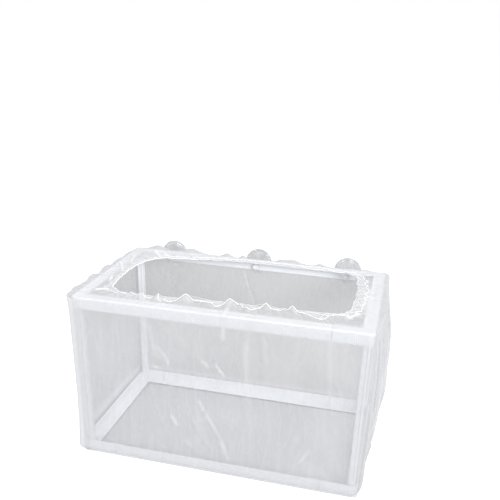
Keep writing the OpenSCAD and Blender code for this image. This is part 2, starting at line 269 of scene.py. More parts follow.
# %% [markdown]
# ## Nylon net
# The bag is a plain weave of fine white nylon thread. Each thread blocks light, scatters it and lets
# a little shine through, and the holes between are open. Threads that fine can't be modelled one by
# one, so the sheet is a mix of see-through and white by the share that thread covers. A row of round
# threads that fills the share w of its pitch leaves 1 - w open, and when it is tilted away from the
# eye only 1 - w / cosine, as the slats of a louvre close. That veils the folds and the walls seen
# from the side, which is how a net shows its shape at all.
# Where cloth is creased or gathered the threads bunch together: they cover more of the pitch, and the
# material draws them whiter. The whiter colour is partly the real look of doubled threads and partly
# painted light: a painted highlight along creases, and painted light that lifts the shade on the floor
# panel and at the seam. The modelling cells below write how much into a point attribute called
# bunch, and the material reads it.

# %% Net material
WEAVE_PITCH = 1.5      # mm; the real 0.45 mm is too fine to show, so it is drawn three times as coarse
WEAVE_RIPPLE = 0.006   # swing of the covered share from thread to hole; more would flicker in a picture
STRIPE_WIDTH = 12.5    # mm; of the upright stripes of closer threads
STRIPE_STRETCH = 0.14  # the stripes are about seven times as long as they are wide
TENSION = 0.09         # how much the stripes change the covered share
BUNCH_COVER = 0.75     # how much more of the pitch is covered where the threads are fully bunched
SHINE = 0.15           # the part of a thread's light that has come through it from behind
THREAD = srgb("#d8d9db")
# painted light in part: bunched threads take this whiter colour, which stands for doubled threads and
# also paints highlights and lifts shade
BUNCHED_AND_PAINTED_LIGHT = srgb("#f3f4f6")


def nylon_net(name, covered, thread=THREAD):
    """A woven net; covered is the share of its pitch that a thread fills."""
    material, tree, output = new_material(name)

    def math_node(operation, a, b=0.0, **settings):
        return add_node(tree, "ShaderNodeMath", {0: a, 1: b}, operation=operation, **settings).outputs[0]

    uv = add_node(tree, "ShaderNodeUVMap", uv_map="cloth").outputs[0]
    bunch = add_node(tree, "ShaderNodeAttribute", attribute_name="bunch").outputs["Fac"]
    # warp and weft as two crossed ripples, in a cloth map that is measured in metres
    axes = add_node(tree, "ShaderNodeSeparateXYZ", {0: uv})
    per_metre = 2 * math.pi / (WEAVE_PITCH * MM)
    warp = math_node("COSINE", math_node("MULTIPLY", axes.outputs["X"], per_metre))
    weft = math_node("COSINE", math_node("MULTIPLY", axes.outputs["Y"], per_metre))
    weave = math_node("MULTIPLY", math_node("ADD", warp, weft), WEAVE_RIPPLE / 2)
    # uneven tension: threads lie closer in some upright stripes than in others
    stretched = add_node(tree, "ShaderNodeMapping", {"Vector": uv, "Scale": (1.0, STRIPE_STRETCH, 1.0)})
    stripes = add_node(tree, "ShaderNodeTexNoise", {"Vector": stretched.outputs[0],
                                                    "Scale": noise_scale(STRIPE_WIDTH), "Detail": 1.0})
    uneven = math_node("MULTIPLY", math_node("SUBTRACT", stripes.outputs["Fac"], 0.5), TENSION)
    share = math_node("ADD", math_node("ADD", covered, weave), uneven)
    share = math_node("ADD", share, math_node("MULTIPLY", bunch, BUNCH_COVER))
    # Layer Weight's facing is one less the cosine between the surface and the line of sight
    facing = add_node(tree, "ShaderNodeLayerWeight", {"Blend": 0.5}).outputs["Facing"]
    cosine = math_node("SUBTRACT", 1.001, facing)
    tilted = math_node("SUBTRACT", 1.0, math_node("DIVIDE", share, cosine), use_clamp=True)
    through = math_node("MULTIPLY", math_node("SUBTRACT", 1.0, share), tilted, use_clamp=True)
    # painted light in part: bunched threads are drawn whiter, painting highlights on creases and lifting
    # shade on the floor panel and the seam
    white = mixed_colour(tree, bunch, thread, BUNCHED_AND_PAINTED_LIGHT)
    yarn = add_node(tree, "ShaderNodeBsdfPrincipled",
                    {"Base Color": white, "Roughness": 0.5, "IOR": PLASTIC_IOR})
    shine = add_node(tree, "ShaderNodeBsdfTranslucent", {"Color": white})
    lit = add_node(tree, "ShaderNodeMixShader", {0: SHINE, 1: yarn.outputs[0], 2: shine.outputs[0]})
    clear = add_node(tree, "ShaderNodeBsdfTransparent", {"Color": WHITE})
    cloth = add_node(tree, "ShaderNodeMixShader", {0: through, 1: lit.outputs[0], 2: clear.outputs[0]})
    tree.links.new(cloth.outputs[0], output.inputs["Surface"])
    return material


net = nylon_net("nylon net", covered=0.18)
hem_net = nylon_net("folded nylon net", covered=0.16)
# painted light: the floor panel is the same net as the walls, drawn with a lighter thread and a little
# more cover, to lift the shade inside the box
floor_cloth = nylon_net("floor nylon net painted lighter", covered=0.20, thread=srgb("#dfe0e2"))
print("net drawn with", WEAVE_PITCH, "mm between threads")

# %% [markdown]
# ## Thread and elastic
# The hem is overlocked with bulked polyester thread round a cord of covered rubber. Both are matt,
# brilliant white, and fluffy enough to lose any highlight.

# %% Sewing thread and elastic
def textured_thread(name, colour, pitch):
    """A matt twisted yarn; pitch is the length of one twist in millimetres."""
    material, tree, output = new_material(name)
    place = add_node(tree, "ShaderNodeTexCoord").outputs["Object"]
    twist = add_node(tree, "ShaderNodeTexNoise", {"Vector": place, "Scale": noise_scale(pitch),
                                                  "Detail": 1.0})
    bump = add_node(tree, "ShaderNodeBump", {"Height": twist.outputs["Fac"], "Strength": 0.5,
                                             "Distance": 0.15 * MM})
    white = mixed_colour(tree, twist.outputs["Fac"], srgb(colour), WHITE)
    yarn = add_node(tree, "ShaderNodeBsdfPrincipled", {
        "Base Color": white, "Roughness": 0.8, "Sheen Weight": 0.4, "Normal": bump.outputs["Normal"]})
    tree.links.new(yarn.outputs[0], output.inputs["Surface"])
    return material


elastic_yarn = textured_thread("covered elastic", "#f4f4f6", 0.9)
overlock_yarn = textured_thread("bulked polyester thread", "#f8f8fa", 0.6)
print("yarns:", elastic_yarn.name, "and", overlock_yarn.name)

# %% [markdown]
# ## Clear vinyl
# The cups are dipped soft PVC, clear with a cool grey cast. Vinyl bends light with an index of about
# 1.53; plasticiser and handling leave it a little hazy, so it isn't as sharp as glass. Light crosses
# the thin skirt almost straight, so part of its surface simply lets it through, in uneven patches:
# that also keeps the cups from throwing the hard black shadows that a renderer gives to thick glass.
# The stem and its knob are many times thicker, and vinyl that thick is milky.

# %% Clear vinyl
# how much of the skirt's surface shows as vinyl where it is seen straight, and along its edge
SKIRT_CLEAR, SKIRT_EDGE = 0.14, 0.76
PATCHES = 0.22     # how much more or less of it shows in the patches
PATCH_SIZE = 8.33  # mm


def clear_vinyl():
    material, tree, output = new_material("clear soft vinyl")
    place = add_node(tree, "ShaderNodeTexCoord").outputs["Object"]
    haze = add_node(tree, "ShaderNodeTexNoise", {"Vector": place, "Scale": noise_scale(PATCH_SIZE),
                                                 "Detail": 2.0})
    rough = add_node(tree, "ShaderNodeMapRange", {"Value": haze.outputs["Fac"], "To Min": 0.12,
                                                  "To Max": 0.26})
    body = add_node(tree, "ShaderNodeBsdfPrincipled", {
        "Base Color": srgb("#f6f9fd"), "Roughness": rough.outputs["Result"], "IOR": PLASTIC_IOR,
        "Transmission Weight": 0.7})
    clear = add_node(tree, "ShaderNodeBsdfTransparent", {"Color": srgb("#fcfdfd")})
    rim = add_node(tree, "ShaderNodeLayerWeight", {"Blend": 0.3})
    skin = add_node(tree, "ShaderNodeMapRange", {"Value": rim.outputs["Facing"], "To Min": SKIRT_CLEAR,
                                                 "To Max": SKIRT_EDGE})
    mottle = add_node(tree, "ShaderNodeMapRange", {
        "Value": haze.outputs["Fac"], "From Min": 0.35, "From Max": 0.65,
        "To Min": -PATCHES, "To Max": PATCHES})
    uneven = add_node(tree, "ShaderNodeMath", {0: skin.outputs["Result"], 1: mottle.outputs["Result"]},
                      operation="ADD", use_clamp=True)
    skirt = add_node(tree, "ShaderNodeMixShader", {0: uneven.outputs[0], 1: clear.outputs[0],
                                                   2: body.outputs[0]})
    stem = add_node(tree, "ShaderNodeBsdfPrincipled", {
        "Base Color": srgb("#eef1f4"), "Roughness": rough.outputs["Result"], "IOR": PLASTIC_IOR})
    # the stem starts at the rail's outer face, and blends into the skirt over a millimetre each way
    depth = add_node(tree, "ShaderNodeSeparateXYZ", {0: place}).outputs["Y"]
    thick = add_node(tree, "ShaderNodeMapRange", {"Value": depth, "From Min": (half_y + 1) * MM,
                                                  "From Max": (half_y - 1) * MM})
    both = add_node(tree, "ShaderNodeMixShader", {0: thick.outputs["Result"], 1: skirt.outputs[0],
                                                  2: stem.outputs[0]})
    tree.links.new(both.outputs[0], output.inputs["Surface"])
    return material


cups = [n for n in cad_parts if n.startswith("suction_cup_")]
finish_nodes(clear_vinyl(), *cups)
print(len(cups), "cups finished")

# %% [markdown]
# ## Where the bag runs
# The bag is one strip of net, sewn into a tube that goes up the outside of the frame, turns over the
# top ring and ends in the gathered mouth. It could be made as flat panels with a soft edge between
# them, but a net shows every break, so it is lofted as one skin: columns of points follow the ring's
# outline, and each column climbs the wall, bends over the ring and runs in to the hem.

# %% The ring's outline, as seen from above
corner_r = 4.5  # mm; the rounding of the ring's upright corners
corner_x, corner_y = half_x - corner_r, half_y - corner_r
quarter = math.pi / 2 * corner_r
# Each leg: its length, its start or a corner's centre, then its direction or the corner's first angle.
LEGS = [
    (corner_x, (0, half_y), (-1, 0), None),
    (quarter, (-corner_x, corner_y), None, 90),
    (2 * corner_y, (-half_x, corner_y), (0, -1), None),
    (quarter, (-corner_x, -corner_y), None, 180),
    (2 * corner_x, (-corner_x, -half_y), (1, 0), None),
    (quarter, (corner_x, -corner_y), None, 270),
    (2 * corner_y, (half_x, -corner_y), (0, 1), None),
    (quarter, (corner_x, corner_y), None, 0),
    (corner_x, (corner_x, half_y), (-1, 0), None),
]
perimeter = sum(leg[0] for leg in LEGS)
# where each wall's straight part starts or ends, on the way round from the middle of the back
left_back = corner_x + quarter
left_front = left_back + 2 * corner_y
front_left = left_front + quarter
right_front = front_left + 2 * corner_x + quarter
right_back = right_front + 2 * corner_y


def outline(s):
    """Point and outward normal on the ring's outer face, s mm from the middle of the back, leftwards."""
    s %= perimeter
    for length, start, along, angle in LEGS:
        if s <= length:
            break
        s -= length
    if angle is None:
        normal = Vector((along[1], -along[0]))
        return Vector(start) + Vector(along) * s, normal
    a = math.radians(angle) + s / corner_r
    normal = Vector((math.cos(a), math.sin(a)))
    return Vector(start) + normal * corner_r, normal


# %% Places on the four walls
def front(x):
    """The place s on the front wall at x; the next three do the same for the other walls."""
    return front_left + corner_x + x


def left(y):
    return left_back + corner_y - y


def right_side(y):
    return right_front + corner_y + y


def rear(x):
    return -x % perimeter


print(f"the net runs {perimeter:.0f} mm round the frame")

# %% Smooth steps and closed curves through a few chosen values
def smooth(x, low=0.0, high=1.0):
    """0 below low, 1 above high, with a soft slope between."""
    x = min(1.0, max(0.0, (x - low) / (high - low)))
    return x * x * (3 - 2 * x)


def ridge(x, width):
    """A soft bump of height 1 at x = 0 that is gone at about two widths."""
    return math.exp(-(x / width) ** 2)


def closed_curve(knots):
    """A smooth periodic function of the place s, through (place, values) pairs."""
    knots = sorted(knots)
    n = len(knots)

    def value(s):
        s %= perimeter
        i = max((k for k in range(n) if knots[k][0] <= s), default=-1)
        a, b, c, d = ((knots[(i + j) % n], (i + j) // n * perimeter) for j in (-1, 0, 1, 2))
        (xa, va), (xb, vb), (xc, vc), (xd, vd) = ((k[0] + shift, k[1]) for k, shift in (a, b, c, d))
        t = (s - xb) / (xc - xb)
        span = xc - xb
        out = []
        for p, q, r, w in zip(va, vb, vc, vd):
            m0 = (r - p) / (xc - xa) * span
            m1 = (w - q) / (xd - xb) * span
            out.append((2 * t**3 - 3 * t**2 + 1) * q + (t**3 - 2 * t**2 + t) * m0
                       + (3 * t**2 - 2 * t**3) * r + (t**3 - t**2) * m1)
        return out
    return value

# %% [markdown]
# ## Slack and folds
# The bag is cut a little larger than the frame. It lies close on the two rings and hangs slack
# between them, most of all at the right end, and the spare cloth falls into soft upright folds.
# A few chosen values set how far the net stands off each corner and wall, and noise on a ring
# (a circle walked through a noise field, so that its end meets its start) adds the folds.

# %% How far the net stands off the frame
NET_GAP = 0.55  # mm between the net and the plastic it lies on
# (place round the frame, (stand-off at half height, at the top ring and at the bottom ring, then the
# height of the tuck that draws the wall in to the floor's seam)), all in millimetres
slack = closed_curve([
    (rear(0), (2.4, 0.3, 0.3, 8)), (rear(-90), (2.6, 0.5, 0.5, 8)), (rear(-130), (2.0, 0.6, 0.6, 8)),
    (left(45), (4.2, 1.8, 1.6, 8)), (left(0), (4.6, 2.4, 2.2, 8)), (left(-50), (2.6, 3.0, 3.0, 7)),
    (left(-70), (2.4, 4.0, 5.2, 5)), (front(-128), (1.9, 2.4, 3.4, 5)),
    (front(-116), (1.0, 0.2, 0.2, 6)), (front(-60), (1.6, 0.1, 0.1, 7)),
    (front(10), (2.2, 0.2, 0.2, 7)), (front(80), (1.8, 0.1, 0.2, 7)), (front(124), (1.4, 0.2, 1.2, 9)),
    (right_side(-66), (4.3, 1.4, 3.6, 12)), (right_side(-45), (7.4, 3.2, 1.8, 14)),
    (right_side(-5), (9.6, 5.6, 1.4, 14)), (right_side(40), (9.8, 4.2, 1.6, 14)),
    (right_side(64), (5.4, 4.2, 1.0, 10)), (right_side(74), (3.4, 3.2, 0.8, 9)),
    (rear(128), (2.0, 0.5, 0.5, 8)), (rear(80), (2.6, 0.3, 0.3, 8)),
])
# (place round the frame, (strength of the folds, strength of the crumples))
unrest = closed_curve([
    (rear(0), (0.9, 0.5)), (rear(-100), (1.2, 1.2)), (left(30), (1.5, 1.2)), (left(-50), (1.3, 1.0)),
    (front(-120), (0.5, 0.5)), (front(-40), (0.6, 0.35)), (front(60), (0.7, 0.35)),
    (front(122), (0.4, 0.3)), (right_side(-50), (1.7, 0.8)), (right_side(10), (2.0, 1.0)),
    (right_side(60), (1.6, 0.8)), (rear(110), (0.9, 0.5)),
])


def ring_noise(s, cell, seed, height=0.0):
    """Noise from -1 to 1 that repeats once round the frame, with features about a cell wide."""
    radius = perimeter / (2 * math.pi * cell)
    a = 2 * math.pi * s / perimeter
    return noise.noise(Vector((radius * math.cos(a), radius * math.sin(a), height + 17.3 * seed)))


# %% Creases that the net keeps from being packed flat
# Each runs from one (place, height above the table) to another; then come its height off the sheet
# and its half width in millimetres, and how much its threads bunch. A negative height is a valley.
# The bunching also draws a crease whiter: partly its doubled threads, partly a painted highlight along
# it.
WALL_CREASES = [
    # the back wall
    ((rear(-122), 44), (rear(-111), 39), 2.4, 1.4, 1.3),
    ((rear(-112), 40), (rear(-103), 27), 3.0, 1.5, 1.3),
    ((rear(-104), 29), (rear(-101), 20), 2.2, 1.5, 1.0),
    ((rear(-119), 36), (rear(-109), 23), -3.0, 2.2, -0.12),
    ((rear(-122), 17), (rear(-114), 15), 2.0, 1.5, 1.3),
    ((rear(-100), 60), (rear(-88), 44), -1.2, 2.4, 0.0),
    ((rear(-84), 52), (rear(-76), 70), 1.0, 2.2, 0.20),
    ((rear(-62), 32), (rear(-52), 24), 2.4, 1.5, 1.4),
    ((rear(-46), 30), (rear(-33), 16), 2.4, 1.5, 1.4),
    ((rear(-12.5), 146), (rear(-8), 126), 1.4, 1.2, 0.42),
    ((rear(-8), 126), (rear(0), 110), 1.2, 3.0, 0.14),
    ((rear(9), 74), (rear(24), 49), 1.0, 2.4, 0.18),
    ((rear(42), 42), (rear(61), 18), -1.6, 1.8, 0.0),
    ((rear(83), 85), (rear(88), 24), 1.0, 2.6, 0.12),
    ((rear(96), 26), (rear(102), 10), 1.4, 1.6, 0.40),
    ((rear(14), 71), (rear(15), 25), 0.9, 3.0, 0.16),
    # the front wall
    ((front(8.2), 162), (front(8.2), 138), 0.8, 2.2, 0.28),
    ((front(42), 151), (front(46), 120), 0.8, 2.4, 0.06),
    ((front(97), 160), (front(102), 90), 0.8, 3.0, 0.08),
    ((front(-60), 148), (front(-52), 110), 0.7, 3.0, 0.12),
    ((front(-20), 60), (front(-4), 28), 0.8, 2.2, 0.05),
    ((front(28), 148), (front(30), 84), 0.6, 3.4, 0.12),
    # the left wall
    ((left(-45), 125), (left(-50), 96), 1.3, 2.4, 0.20),
    ((left(-10), 112), (left(-24), 58), 1.8, 2.6, 0.28),
    ((left(12), 104), (left(8), 60), 1.2, 2.6, 0.15),
    ((left(58), 56), (left(52), 20), -1.4, 2.2, 0.0),
    ((left(30), 40), (left(10), 22), 1.3, 2.2, 0.22),
    ((left(-38), 60), (left(-30), 30), -1.2, 2.6, 0.0),
    # the right wall
    ((right_side(-61), 156), (right_side(-63), 84), -3.2, 1.7, -0.24),
    ((right_side(-40), 118), (right_side(-52), 40), 2.0, 2.6, 0.30),
    ((right_side(5), 130), (right_side(-12), 60), 2.4, 2.8, 0.30),
    ((right_side(45), 140), (right_side(28), 70), 2.0, 2.6, 0.25),
    ((right_side(-20), 60), (right_side(-45), 20), -2.0, 2.6, 0.0),
    ((right_side(20), 52), (right_side(48), 18), 1.8, 2.6, 0.25),
]


def crease(p, start, end, width):
    """From 0 to 1, how near p is to the top of a crease that fades out at both of its ends."""
    a, b = Vector(start), Vector(end)
    along = (p - a).dot(b - a) / (b - a).length_squared
    across = (p - a - (b - a) * along).length
    if along < -0.1 or along > 1.1 or across > 4 * width:
        return 0.0
    return ridge(across, width) * smooth(along, -0.1, 0.2) * smooth(1 - along, -0.1, 0.2)


def wall_creases(s, z):
    """Height and bunching of the creases at a point of the wall."""
    rise, bunched_and_painted_light = 0.0, 0.0
    p = Vector((s, z))
    for start, end, height, width, bunch in WALL_CREASES:
        if min(start[0], end[0]) - 4 * width < s < max(start[0], end[0]) + 4 * width:
            mark = crease(p, start, end, width)
            rise += height * mark
            bunched_and_painted_light += bunch * mark ** 1.5
    return rise, bunched_and_painted_light


print(len(WALL_CREASES), "creases on the walls")


# %% Folds
# How wide the features of each noise are along the wall, and how tall, in millimetres
DRIFT, FOLDS, CRESTS, CRUMPLES = (60, 70), (17, 110), (9, 60), (21, 17)


def wall_noise(s, z, size, seed):
    """Ring noise at a point of the wall, with features of a given size."""
    return ring_noise(s, size[0], seed, z / size[1])


def folds(s, z):
    """Height of the upright folds and crumples in millimetres, and how much the threads bunch there."""
    drift = 7 * wall_noise(s, z, DRIFT, 3)  # mm; the folds wander sideways as they hang
    broad = wall_noise(s + drift, z, FOLDS, 1)
    # the zero line of a noise, turned into a sharp crest or a crumple
    fine = 1 - 3.2 * abs(wall_noise(s + 1.5 * drift, z, CRESTS, 2))
    crumple = 1 - 4.0 * abs(wall_noise(s + z * 0.5, z, CRUMPLES, 5))
    fold_mm, crumple_mm = unrest(s)
    rise, bunched_and_painted_light = wall_creases(s, z)
    rise += fold_mm * (1.1 * broad + 0.32 * max(-0.4, fine)) + 0.30 * crumple_mm * max(0.0, crumple)
    bunched_and_painted_light += 0.05 * fold_mm * smooth(fine, 0.55, 1.0) + 0.02 * crumple_mm * smooth(crumple, 0.6, 1.0)
    # threads lie closer where the cloth turns the two front corners
    bunched_and_painted_light += 0.75 * ridge(s - left_front - 2, 5.0) + 0.07 * ridge(s - right_front + 3, 2.5)
    # and where the back and left walls are pressed to the upper edge of the bottom ring
    if s < left_back or s > right_back:
        bunched_and_painted_light += 0.36 * ridge(z - 14.2, 2.4)
    elif s < left_front:
        bunched_and_painted_light += 0.36 * ridge(z - 16.0, 5.0)
    return rise, bunched_and_painted_light


# %% Slack and folds together
SINK = 1.2  # mm that a valley between the rings may sink in from where the net lies on them


def stand_off(s, z):
    """Distance from the ring's outer face to the net at height z, and how much the threads bunch.

    The slack hangs in a bow between the rings, fuller above than below, and the folds start a little
    way from each ring.
    """
    up = (z - ring_bottom) / (ring_top - ring_bottom)
    half_height, at_top, at_bottom = slack(s)[:3]
    at_rings = at_bottom + (at_top - at_bottom) * up
    hang = math.sin(math.pi * min(1.0, max(0.0, up))) ** (0.6 if up > 0.5 else 1.0)
    free = smooth(up, 0.02, 0.20) * smooth(1 - up, 0.03, 0.20)
    rise, bunched_and_painted_light = folds(s, z)
    spare = at_rings + (half_height - at_rings) * hang + rise * free
    return NET_GAP + max(-SINK * free, spare), bunched_and_painted_light


# %% [markdown]
# ## The mouth
# The elastic draws the mouth in to a rounded rectangle. Its edge isn't straight: the gathers make it
# nod up and down and in and out, strongly along the front and the right end, hardly at the back.

# %% Line of the mouth
COLLAR_Z = ring_top + NET_GAP


def beside(x, y):
    """The place on the frame's outline that lies outside a point of the mouth."""
    outer = Vector((x * half_x / 110, (y - 4.5) * half_y / 53.5))  # the mouth, widened to the frame
    return min(range(int(perimeter)), key=lambda s: (outline(s)[0] - outer).length)


# (x, y) of its edge in millimetres, from the middle of the back, leftwards
MOUTH = [
    (0, 60), (-40, 56), (-62, 52), (-75, 50), (-85, 48), (-92, 45), (-98, 40.5), (-102.5, 35),
    (-106, 27), (-108.5, 18), (-109.5, 6), (-109.7, -5), (-109.5, -18), (-108.3, -30), (-105.5, -44),
    (-98, -50.5), (-92, -53.5), (-84, -55.5), (-70, -55), (-54, -54), (-35, -51.5), (-17, -50),
    (4, -48.7), (30, -49.5), (55, -48.5), (81, -46.7), (97, -45.5), (104.5, -42.5), (108.3, -35),
    (110.3, -20), (110, 0), (109.2, 24), (107.5, 42), (103, 52), (96, 57), (80, 59.5), (48, 61),
]
mouth_curve = closed_curve([(beside(x, y), (x, y)) for x, y in MOUTH])
print("the mouth is", max(x for x, y in MOUTH) - min(x for x, y in MOUTH), "mm wide")

# %% How the hem changes round the mouth
# (place, (strength of the nods, strength of the wander in and out, then how boldly the loopers, the
# stitch line and the lip show))
hem_shape = closed_curve([
    (rear(0), (0.3, 0.3, 0.0, 0.7, 0.5)), (rear(-90), (0.3, 0.3, 0.1, 0.6, 0.7)),
    (left(20), (0.3, 0.3, 0.0, 0.2, 1.0)), (left(-50), (0.3, 0.3, 0.1, 0.3, 1.0)),
    (front(-110), (0.3, 0.3, 0.3, 0.8, 0.6)), (front(-20), (0.2, 0.2, 0.2, 1.0, 0.4)),
    (front(60), (0.25, 0.2, 0.2, 1.0, 0.3)), (front(98), (0.3, 0.3, 0.6, 1.0, 0.4)),
    (right_side(-50), (0.8, 0.9, 0.6, 1.2, 0.5)), (right_side(10), (0.8, 1.0, 0.6, 1.15, 0.2)),
    (right_side(55), (0.7, 0.8, 0.5, 0.9, 0.4)), (rear(95), (0.4, 0.4, 0.2, 0.7, 0.5)),
])
# (place, width of the hem): along the front the elastic and the stitch line part and meet again
hem_width = closed_curve([(place, (width,)) for place, width in [
    (rear(0), 6.5), (rear(-90), 6.0), (left(50), 4.0), (left(20), 3.5), (left(-50), 4.0),
    (front(-118), 6.5), (front(-104), 5.0), (front(-95), 4.5), (front(-88), 2.0), (front(-83), 2.5),
    (front(-78), 5.0), (front(-73), 7.0), (front(-67), 2.5), (front(-61), 10.0), (front(-50), 11.5),
    (front(-43), 6.0), (front(-39), 2.0), (front(-29), 3.5), (front(-10), 5.0), (front(-3), 12.5),
    (front(4), 4.0), (front(8), 2.0), (front(17), 3.0), (front(29), 11.0), (front(37), 5.0),
    (front(45), 2.0), (front(50), 3.0), (front(60), 4.0), (front(71), 2.5), (front(77), 3.5),
    (front(86), 7.0), (front(95), 16.0), (front(107), 7.0), (front(118), 3.0), (right_side(-66), 6.0),
    (right_side(-50), 8.5), (right_side(10), 9.5), (right_side(55), 8.5), (rear(95), 6.0),
]])

# %% Pointed gathers along the front
# (place, rise, length of the climb to it, length of the fall after it), where the hem stands up
GATHERS = [
    (front(-104), 2.0, 3, 4), (front(-95), 3.4, 3, 5), (front(-85), 3.4, 4, 7), (front(-66), 4.4, 5, 7),
    (front(-53), 1.6, 3, 3), (front(-39), 5.2, 6, 10), (front(8), 5.0, 6, 9), (front(20), 2.0, 3, 3),
    (front(27), 2.2, 3, 4), (front(45.5), 4.8, 6, 6), (front(64), 2.6, 3, 3), (front(72), 5.2, 5, 6),
]


def gather_rise(s):
    """Height of the pointed gathers at s, in millimetres."""
    rise = 0.0
    for place, height, climb, fall in GATHERS:
        gap = s - place
        rise = max(rise, height * (1 - gap / fall if gap > 0 else 1 + gap / climb))
    return rise


def peaks(s, cell, seed):
    """Pointed nods, from 0 to 1, where gathered cloth folds up sharply."""
    return max(0.0, 1 - 3.0 * abs(ring_noise(s, cell, seed)))


# %% The lip and the stitch line
HEM_LIFT = 0.3  # mm between the collar's height and the hem's


def mouth_lines(s):
    """The mouth's lip and the hem's stitch line beside s, with the direction from frame to mouth."""
    edge_xy = outline(s)[0]
    mouth_xy = Vector(mouth_curve(s))
    inward = (mouth_xy - edge_xy).normalized()
    nod, wander = hem_shape(s)[:2]
    width = hem_width(s)[0]
    lip = mouth_xy + inward * wander * (1.6 * ring_noise(s, 13, 11) + 0.7 * ring_noise(s, 5, 17))
    lip_z = COLLAR_Z + HEM_LIFT + 0.2 * gather_rise(s)
    lip_z += nod * (2.0 * peaks(s, 14, 12) + 1.0 * ring_noise(s, 6, 13))
    seam = mouth_xy - inward * (width + wander * 4.2 * ring_noise(s, 8, 14))
    seam_z = COLLAR_Z + HEM_LIFT + gather_rise(s)
    seam_z += nod * (1.2 * peaks(s + 5, 12, 15) + 0.8 * ring_noise(s, 5, 16))
    return lip.to_3d() + Vector((0, 0, lip_z)), seam.to_3d() + Vector((0, 0, seam_z)), inward


# %% [markdown]
# ## The bag
# Each column of the skin starts at the floor, climbs the wall, rolls over the ring's rounded edge and
# crosses the flange to the hem. Where the cloth isn't held flat it also puffs up a little along the
# edge of the ring, most at the back and the left.

# %% Puffs along the top edge
# (place, height, half width) of each puff, in millimetres
PUFFS = [
    (rear(-108), 4.6, 9), (rear(-70), 4.8, 10), (rear(-31), 3.6, 5), (rear(-14), 3.2, 3),
    (rear(26), 2.2, 5), (rear(38), 3.8, 9), (rear(67), 2.4, 5), (rear(113), 1.2, 5), (left(52), 1.5, 9),
    (left(26), 2.2, 12), (left(-2), 4.2, 9), (left(-30), 5.0, 9), (left(-48), 3.0, 8),
    (left(-61), 4.2, 7), (left(-73), 3.0, 4), (right_side(20), 1.2, 14),
]


def puff(s):
    """How far the net stands up off the top ring's edge at s."""
    rise = 0.0
    for place, height, half_width in PUFFS:
        gap = (s - place + perimeter / 2) % perimeter - perimeter / 2
        if abs(gap) < 3 * half_width:
            rise += height * ridge(gap, half_width)
    return rise


# %% Gathers of the collar
# (place, how much the free collar's threads bunch there; below 0 they are drawn apart)
gathered = closed_curve([(place, (bunch,)) for place, bunch in [
    (rear(0), 0.05), (left(10), 0.04), (left(-42), -0.11), (front(-118), -0.05), (front(-90), -0.02),
    (front(-40), -0.10), (front(40), -0.14), (front(100), -0.14), (right_side(-60), -0.16),
    (right_side(-30), 0.05), (right_side(5), 0.10), (right_side(30), -0.12), (right_side(50), -0.12),
    (rear(100), 0.0),
]])

# %% Pleats and creases of the collar
# (place, bunching, half width, where it starts and stops): pleats across the collar, which runs from
# 0 at the ring's edge to 1 at the stitch line
PLEATS = [
    (front(8.2), 0.30, 2.0, -1.0, 0.6), (front(-68), 0.22, 2.0, -1.0, 0.5),
    (rear(-113), 0.50, 2.4, 0.3, 1.1), (rear(-103), 0.45, 2.0, 0.4, 1.1),
    (right_side(0), 0.25, 2.6, 0.1, 1.0),
]
# (start, end, height, half width, bunching) of creases that lie along the collar, by x and y
COLLAR_CREASES = [
    ((-114, -34), (-120.5, -14), 1.2, 1.0, 0.6), ((-115, -3), (-127, 21), 1.2, 1.0, 0.6),
    ((-119, 27), (-124, 46), 1.2, 1.0, 0.45), ((-105, -47.5), (-114.5, -45), 1.2, 1.2, 0.8),
    ((-119, -55), (-104, -51), 0.8, 1.8, 0.9), ((107, -53), (117, -38), 0.8, 2.0, 0.8),
]


def collar_bunch(s, t):
    """How much the threads bunch on the collar beside s, t of the way to the stitch line."""
    bunch = gathered(s)[0] * smooth(t, 0.3, 0.6) + 0.13 * peaks(s, 7, 23) * smooth(t, 0.3, 1.0)
    bunch += 0.045 * gather_rise(s) * smooth(t, 0.5, 1.0)
    for place, strength, width, start, stop in PLEATS:
        inside = smooth(t, start - 0.1, start + 0.1) * (1 - smooth(t, stop - 0.2, stop + 0.2))
        bunch += strength * ridge(s - place, width) * inside
    return bunch


print(len(PLEATS), "pleats and", len(COLLAR_CREASES), "creases on the collar")

# %% The collar between the ring's edge and the stitch line
def collar_point(s, start, stop, t, rise):
    """A point of the collar, t of the way from the ring's edge to the stitch line.

    A puff's rise fades out before it is half way there.
    """
    p = start.lerp(stop, t)
    # over the flange it can't sink, and just inside it hangs free
    depth = min(half_x - abs(p.x), half_y - abs(p.y))
    held = 1 - smooth(depth, flange - 1, flange + 5)
    gather = 0.9 * ring_noise(s, 11, 21) + 0.5 * ring_noise(s, 5, 22)
    lift = gather * (0.25 + 1.2 * t) + rise * math.cos(math.pi / 2 * min(1, t * 2.2)) ** 2
    p.z = start.z + (stop.z - start.z) * smooth(t, 0.3, 1.0) + lift
    p.z = max(p.z, COLLAR_Z) * held + p.z * (1 - held)
    return p


# %% The part of a column that climbs the wall
WALL_ROWS = 100
EDGE_R = 1.2         # mm; rounding of the ring's edge
FLOOR_Z = 0.35       # mm; where the wall is sewn to the floor panel
SEAM_OUT = 0.35      # mm; that seam lies this far outside the ring
# the seam's two folded edges, and painted light: the bottom rows are drawn denser and whiter to lift the
# shade where the wall tucks in to the floor
SEAM_BUNCH_AND_PAINTED_LIGHT = 0.6     # two folded edges lie in the seam
PUFF_DEPTH = 14      # mm down the wall that a puff draws up with it
PUFF_UP = 0.35       # the share of a puff's rise by which it lifts the top of the wall
PUFF_OUT = 0.15      # and by which it pushes it outward
wall_top = ring_top - EDGE_R


